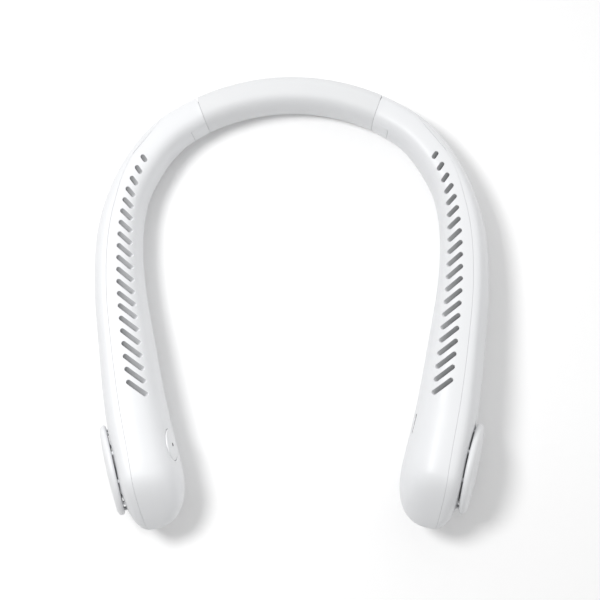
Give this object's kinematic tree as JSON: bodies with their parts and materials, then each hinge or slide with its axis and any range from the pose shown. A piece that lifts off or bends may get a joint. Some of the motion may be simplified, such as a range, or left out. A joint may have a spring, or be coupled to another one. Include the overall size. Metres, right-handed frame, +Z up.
{
  "type": "electric neck fan",
  "caption": "Bladeless personal fan worn round the neck: a soft band joined by hinges to slotted arms, each with a centrifugal fan in its rounded end.",
  "frame": {"origin": "middle of the underside of the whole fan, on the surface it lies on", "axes": "+X towards the right arm seen from above, +Y from the fan ends towards the back of the neck, +Z up"},
  "size_m": [0.1846, 0.2082, 0.052],
  "materials": {
    "band": "satin soft-touch silicone",
    "spring_steel": "bare spring steel",
    "cable": "matt cable sheath",
    "band_end": "moulded nylon",
    "pin": "ground steel",
    "bracket": "moulded nylon",
    "screw": "zinc plated steel",
    "arm_shell": "satin white ABS",
    "inner_plastic": "moulded ABS",
    "battery_wrap": "shrink wrap",
    "motor_base": "glass-filled nylon",
    "board": "solder mask",
    "stator": "varnished windings on steel",
    "bearing": "sintered bronze",
    "magnet": "bonded ferrite",
    "impeller": "moulded ABS",
    "socket": "nickel plated steel",
    "button": "satin white ABS",
    "switch": "moulded nylon"
  },
  "bodies": {
    "band": {"neck_band": "band", "band_spring": "spring_steel", "band_cable": "cable", "right_band_end": "band_end", "left_band_end": "band_end"},
    "right_arm": {"right_hinge_pin": "pin", "right_hinge_bracket": "bracket", "right_hinge_screws": "screw", "right_hinge_cover": "arm_shell", "right_inner_shell": "arm_shell", "right_outer_shell": "arm_shell", "right_intake_cover": "arm_shell", "right_air_guide": "inner_plastic", "right_battery": "battery_wrap", "right_fan_scroll": "inner_plastic", "right_motor_base": "motor_base", "right_motor_screws": "screw", "right_motor_board": "board", "right_motor_stator": "stator", "right_motor_bearing": "bearing", "charge_board": "board", "usb_c_socket": "socket"},
    "right_fan": {"right_motor_shaft": "pin", "right_rotor_magnet": "magnet", "right_impeller": "impeller"},
    "left_arm": {"left_hinge_pin": "pin", "left_hinge_bracket": "bracket", "left_hinge_screws": "screw", "left_hinge_cover": "arm_shell", "left_inner_shell": "arm_shell", "left_outer_shell": "arm_shell", "left_intake_cover": "arm_shell", "left_air_guide": "inner_plastic", "left_battery": "battery_wrap", "left_fan_scroll": "inner_plastic", "left_motor_base": "motor_base", "left_motor_screws": "screw", "left_motor_board": "board", "left_motor_stator": "stator", "left_motor_bearing": "bearing", "control_board": "board", "button_switch": "switch"},
    "left_fan": {"left_motor_shaft": "pin", "left_rotor_magnet": "magnet", "left_impeller": "impeller"},
    "button": {"power_button": "button"}
  },
  "joints": [
    {"name": "right_arm_hinge", "type": "hinge", "parent": "band", "child": "right_arm", "pos_m": [0.04149, 0.09097, 0.014], "axis": [0, 0, 1], "range_deg": [0, 10]},
    {"name": "right_fan_spin", "type": "hinge", "parent": "right_arm", "child": "right_fan", "pos_m": [0.06843, -0.07352, 0.0257], "axis": [0.9744, -0.225, 0], "continuous": true},
    {"name": "left_arm_hinge", "type": "hinge", "parent": "band", "child": "left_arm", "pos_m": [-0.04149, 0.09097, 0.014], "axis": [0, 0, -1], "range_deg": [0, 10]},
    {"name": "left_fan_spin", "type": "hinge", "parent": "left_arm", "child": "left_fan", "pos_m": [-0.06843, -0.07352, 0.0257], "axis": [-0.9744, -0.225, 0], "continuous": true},
    {"name": "power_button_press", "type": "slide", "parent": "left_arm", "child": "button", "axis": [-0.969, -0.2237, -0.1045], "range_m": [0, 0.0006], "stiffness_N_per_m": 800}
  ]
}
